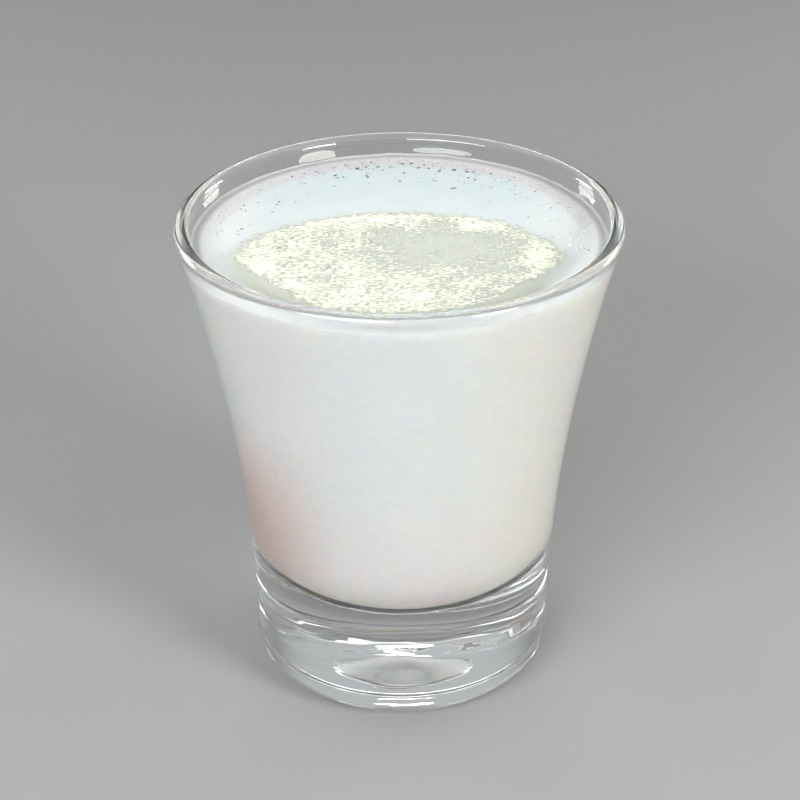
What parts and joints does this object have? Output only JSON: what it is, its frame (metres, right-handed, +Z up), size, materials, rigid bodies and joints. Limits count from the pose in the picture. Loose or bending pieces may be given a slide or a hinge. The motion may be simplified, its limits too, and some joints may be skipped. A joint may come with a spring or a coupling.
{
  "type": "glass of milk",
  "caption": "Small flared clear tumbler with a thick rounded base and a fire-rounded lip, filled nearly to the lip with milk.",
  "frame": {"origin": "centre of the flat face that the glass stands on", "axes": "+Z up along the axis of the glass; it is round, so X and Y are free, and the view of the picture looks along +Y"},
  "size_m": [0.056, 0.056, 0.0643],
  "materials": {
    "glass": "gloss",
    "milk": "satin"
  },
  "bodies": {
    "root": {"glass": "glass", "milk": "milk"}
  },
  "joints": []
}
